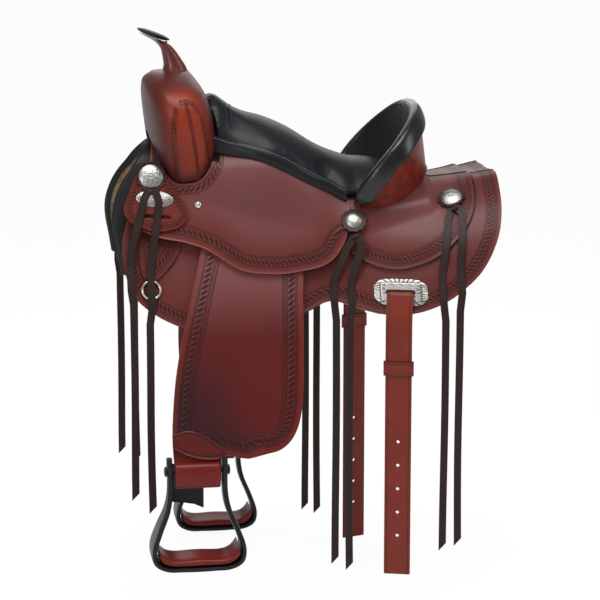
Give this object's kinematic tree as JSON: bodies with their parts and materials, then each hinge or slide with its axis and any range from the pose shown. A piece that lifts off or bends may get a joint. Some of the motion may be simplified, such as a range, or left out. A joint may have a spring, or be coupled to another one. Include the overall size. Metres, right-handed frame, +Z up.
{
  "type": "treeless western saddle",
  "caption": "Western saddle in tooled red-brown leather with a black padded seat, fork and horn, fenders, stirrups, rear billets and silver conchos.",
  "frame": {"origin": "on the underside's crest below the seat, where the saddle rests on the horse's back", "axes": "+X to the rear, from the fork to the cantle; -Y to the near (left) side; +Z up"},
  "size_m": [0.6509, 0.64, 0.9764],
  "materials": {
    "red_leather": "tooled, semi-gloss",
    "bright_leather": "smooth, semi-gloss",
    "black_leather": "smooth, glossy",
    "brown_leather": "matte",
    "silver": "engraved, bright",
    "steel": "brushed",
    "fleece": "matte pile",
    "felt": "matte",
    "core_plastic": "matte"
  },
  "bodies": {
    "root": {"base_pad": "felt", "fleece_lining": "fleece", "skirt_left": "red_leather", "skirt_right": "red_leather", "seat_jockey_left": "red_leather", "seat_jockey_right": "red_leather", "rear_jockey_left": "red_leather", "rear_jockey_right": "red_leather", "fork_cover": "red_leather", "horn_neck": "red_leather", "cantle_back": "red_leather", "breast_plate_left": "bright_leather", "breast_plate_right": "bright_leather", "horn_cap": "black_leather", "seat_cushion": "black_leather", "cantle_dish": "black_leather", "cantle_roll": "black_leather", "hanger_strap": "brown_leather", "rigging_leather_left": "brown_leather", "rigging_leather_right": "brown_leather", "front_string_left": "brown_leather", "front_string_right": "brown_leather", "seat_string_left": "brown_leather", "seat_string_right": "brown_leather", "rear_string_left": "brown_leather", "rear_string_right": "brown_leather", "breast_concho_left": "silver", "breast_concho_right": "silver", "front_concho_left": "silver", "front_concho_right": "silver", "seat_concho_left": "silver", "seat_concho_right": "silver", "rear_concho_left": "silver", "rear_concho_right": "silver", "fork_screw_left": "silver", "fork_screw_right": "silver", "cinch_plate_left": "silver", "cinch_plate_right": "silver", "fork_insert": "core_plastic", "cantle_insert": "core_plastic"},
    "fender_left": {"fender_left": "red_leather", "stirrup_leather_left": "bright_leather", "stirrup_ring_left": "steel", "hobble_left": "black_leather"},
    "stirrup_left": {"stirrup_left": "black_leather", "tread_left": "bright_leather", "stirrup_bolt_left": "steel"},
    "rigging_ring_left": {"rigging_ring_left": "silver"},
    "billet_left": {"billet_left": "bright_leather"},
    "billet_keeper_left": {"billet_keeper_left": "bright_leather"},
    "fender_right": {"fender_right": "red_leather", "stirrup_leather_right": "bright_leather", "stirrup_ring_right": "steel", "hobble_right": "black_leather"},
    "stirrup_right": {"stirrup_right": "black_leather", "tread_right": "bright_leather", "stirrup_bolt_right": "steel"},
    "rigging_ring_right": {"rigging_ring_right": "silver"},
    "billet_right": {"billet_right": "bright_leather"},
    "billet_keeper_right": {"billet_keeper_right": "bright_leather"}
  },
  "joints": [
    {"name": "fender_left_swing", "type": "hinge", "parent": "root", "child": "fender_left", "pos_m": [-0.15, -0.11069, -0.03942], "axis": [0, -0.9272, 0.3746], "range_deg": [-14, 12]},
    {"name": "stirrup_left_swing", "type": "hinge", "parent": "fender_left", "child": "stirrup_left", "pos_m": [-0.212, -0.26389, -0.42673], "axis": [1, 0, 0], "range_deg": [-40, 20]},
    {"name": "rigging_ring_left_turn", "type": "hinge", "parent": "root", "child": "rigging_ring_left", "pos_m": [-0.273, -0.15075, -0.14629], "axis": [0, -0.9272, 0.3746], "range_deg": [-90, 90]},
    {"name": "billet_left_swing", "type": "hinge", "parent": "root", "child": "billet_left", "pos_m": [0.14155, -0.18325, -0.15662], "axis": [0.9526, -0.3043, 0], "range_deg": [-50, 0]},
    {"name": "billet_keeper_left_slide", "type": "slide", "parent": "billet_left", "child": "billet_keeper_left", "axis": [0, 0, -1], "range_m": [-0.04, 0.34]},
    {"name": "fender_right_swing", "type": "hinge", "parent": "root", "child": "fender_right", "pos_m": [-0.15, 0.11069, -0.03942], "axis": [0, -0.9272, -0.3746], "range_deg": [-24, 2]},
    {"name": "stirrup_right_swing", "type": "hinge", "parent": "fender_right", "child": "stirrup_right", "pos_m": [-0.11681, 0.30812, -0.53621], "axis": [1, 0, 0], "range_deg": [-20, 40]},
    {"name": "rigging_ring_right_turn", "type": "hinge", "parent": "root", "child": "rigging_ring_right", "pos_m": [-0.273, 0.15075, -0.14629], "axis": [0, 0.9272, 0.3746], "range_deg": [-90, 90]},
    {"name": "billet_right_swing", "type": "hinge", "parent": "root", "child": "billet_right", "pos_m": [0.14155, 0.18325, -0.15662], "axis": [0.9526, 0.3043, 0], "range_deg": [0, 50]},
    {"name": "billet_keeper_right_slide", "type": "slide", "parent": "billet_right", "child": "billet_keeper_right", "axis": [0, 0, -1], "range_m": [-0.04, 0.4]}
  ]
}
